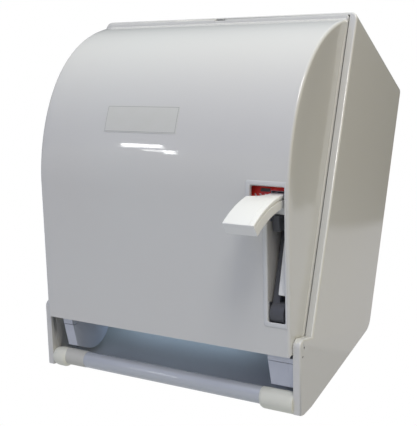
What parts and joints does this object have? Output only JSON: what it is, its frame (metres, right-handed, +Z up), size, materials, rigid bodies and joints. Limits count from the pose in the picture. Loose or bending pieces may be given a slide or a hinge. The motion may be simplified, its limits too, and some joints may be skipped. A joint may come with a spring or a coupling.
{
  "type": "lever paper towel dispenser",
  "caption": "Wall mounted paper towel roll dispenser with a hinged curved front cover and a push-down lever that feeds the towel out below.",
  "frame": {"origin": "centre of the four wall screw holes, on the rear face that lies on the wall", "axes": "+Z up, +Y into the wall, -Y out into the room, +X to the right seen from the front"},
  "size_m": [0.325, 0.2712, 0.4114],
  "materials": {
    "casing": "glossy, lightly textured ABS",
    "chassis": "satin moulded plastic",
    "lever_white": "satin gloss moulded plastic",
    "mechanism_dark": "dark glass-filled nylon",
    "gear_white": "acetal",
    "steel": "zinc plated steel",
    "grip_rubber": "soft rubber",
    "bar_tube": "glossy tube",
    "socket_white": "satin gloss",
    "label": "plain label stock",
    "decal_red": "printed label stock",
    "bronze": "sintered bronze"
  },
  "bodies": {
    "housing": {"back_housing": "casing", "left_cheek": "chassis", "gear_case": "chassis", "gear_case_cover": "chassis", "case_screws": "steel", "chassis_screws": "steel", "caution_decal": "decal_red", "cross_tie": "chassis", "towel_guide": "chassis", "tear_bar": "steel", "spring_bar": "chassis", "bushing_left": "bronze", "bushing_right": "bronze", "lever_axle": "steel", "idler_axle": "steel", "hinge_pin_left": "steel", "hinge_pin_right": "steel", "arm_bracket_left": "chassis", "arm_bracket_right": "chassis", "arm_pin_left": "steel", "arm_pin_right": "steel", "arm_screws": "steel", "bar_socket_left": "socket_white", "bar_socket_right": "socket_white", "latch_guide": "chassis", "pressure_spring_left": "steel", "pressure_spring_right": "steel", "latch_spring": "steel", "lever_spring": "steel"},
    "cover": {"front_cover": "casing", "latch_keeper": "casing", "edge_shroud_left": "chassis", "edge_shroud_right": "chassis", "label_plate": "label"},
    "lever": {"lever": "lever_white", "lever_carrier": "mechanism_dark", "sector_gear": "mechanism_dark", "lever_screws": "steel"},
    "idler": {"idler_gear": "gear_white"},
    "clutch": {"clutch_gear": "gear_white", "one_way_clutch": "steel"},
    "feed": {"feed_shaft": "steel", "feed_roller": "chassis", "grip_ring_1": "grip_rubber", "grip_ring_2": "grip_rubber", "grip_ring_3": "grip_rubber", "grip_ring_4": "grip_rubber"},
    "rocker": {"pressure_rocker": "chassis", "pressure_axle": "steel"},
    "pressure_roller_1": {"pressure_roller_1": "mechanism_dark"},
    "pressure_roller_2": {"pressure_roller_2": "mechanism_dark"},
    "pressure_roller_3": {"pressure_roller_3": "mechanism_dark"},
    "pressure_roller_4": {"pressure_roller_4": "mechanism_dark"},
    "arm_left": {"roll_arm_left": "chassis"},
    "arm_right": {"roll_arm_right": "chassis"},
    "hub_left": {"core_hub_left": "chassis"},
    "hub_right": {"core_hub_right": "chassis"},
    "bar": {"bottom_bar": "bar_tube"},
    "latch": {"latch_bolt": "mechanism_dark"}
  },
  "joints": [
    {"name": "cover_hinge", "type": "hinge", "parent": "housing", "child": "cover", "pos_m": [0, -0.1636, -0.1796], "axis": [1, 0, 0], "range_deg": [0, 80]},
    {"name": "lever_pivot", "type": "hinge", "parent": "housing", "child": "lever", "pos_m": [0.1395, -0.1766, -0.1447], "axis": [1, 0, 0], "range_deg": [0, 50], "stiffness_Nm_per_rad": 0.5, "springref_deg": -22.92, "deforming": ["lever_spring"]},
    {"name": "idler_spin", "type": "hinge", "parent": "housing", "child": "idler", "pos_m": [0.135, -0.12902, -0.12251], "axis": [1, 0, 0], "range_deg": [-200, 0]},
    {"name": "clutch_spin", "type": "hinge", "parent": "housing", "child": "clutch", "pos_m": [0.138, -0.128, -0.16], "axis": [1, 0, 0], "range_deg": [0, 300]},
    {"name": "feed_spin", "type": "hinge", "parent": "housing", "child": "feed", "pos_m": [0, -0.128, -0.16], "axis": [1, 0, 0], "continuous": true},
    {"name": "rocker_tilt", "type": "hinge", "parent": "housing", "child": "rocker", "pos_m": [0, -0.15, -0.128], "axis": [-1, 0, 0], "range_deg": [0, 5], "stiffness_Nm_per_rad": 4, "springref_deg": -5.73, "deforming": ["pressure_spring_left", "pressure_spring_right"]},
    {"name": "pressure_spin_1", "type": "hinge", "parent": "rocker", "child": "pressure_roller_1", "pos_m": [-0.09, -0.15488, -0.15526], "axis": [1, 0, 0], "continuous": true},
    {"name": "pressure_spin_2", "type": "hinge", "parent": "rocker", "child": "pressure_roller_2", "pos_m": [-0.03, -0.15488, -0.15526], "axis": [1, 0, 0], "continuous": true},
    {"name": "pressure_spin_3", "type": "hinge", "parent": "rocker", "child": "pressure_roller_3", "pos_m": [0.03, -0.15488, -0.15526], "axis": [1, 0, 0], "continuous": true},
    {"name": "pressure_spin_4", "type": "hinge", "parent": "rocker", "child": "pressure_roller_4", "pos_m": [0.09, -0.15488, -0.15526], "axis": [1, 0, 0], "continuous": true},
    {"name": "arm_swing_left", "type": "hinge", "parent": "housing", "child": "arm_left", "pos_m": [-0.112, -0.015, 0.025], "axis": [0, 0, -1], "range_deg": [0, 14], "stiffness_Nm_per_rad": 0.8, "springref_deg": -11.46},
    {"name": "hub_spin_left", "type": "hinge", "parent": "arm_left", "child": "hub_left", "pos_m": [-0.1, -0.115, 0.025], "axis": [1, 0, 0], "continuous": true},
    {"name": "arm_swing_right", "type": "hinge", "parent": "housing", "child": "arm_right", "pos_m": [0.112, -0.015, 0.025], "axis": [0, 0, 1], "range_deg": [0, 14], "stiffness_Nm_per_rad": 0.8, "springref_deg": -11.46},
    {"name": "hub_spin_right", "type": "hinge", "parent": "arm_right", "child": "hub_right", "pos_m": [0.1, -0.115, 0.025], "axis": [1, 0, 0], "continuous": true},
    {"name": "bar_spin", "type": "hinge", "parent": "housing", "child": "bar", "pos_m": [0, -0.1457, -0.2289], "axis": [1, 0, 0], "continuous": true},
    {"name": "latch_slide", "type": "slide", "parent": "housing", "child": "latch", "axis": [0, 0, 1], "range_m": [0, 0.0028], "deforming": ["latch_spring"]}
  ],
  "couplings": [
    {"joint": "idler_spin", "follows": "lever_pivot", "ratio": -4},
    {"joint": "clutch_spin", "follows": "lever_pivot", "ratio": 6}
  ]
}
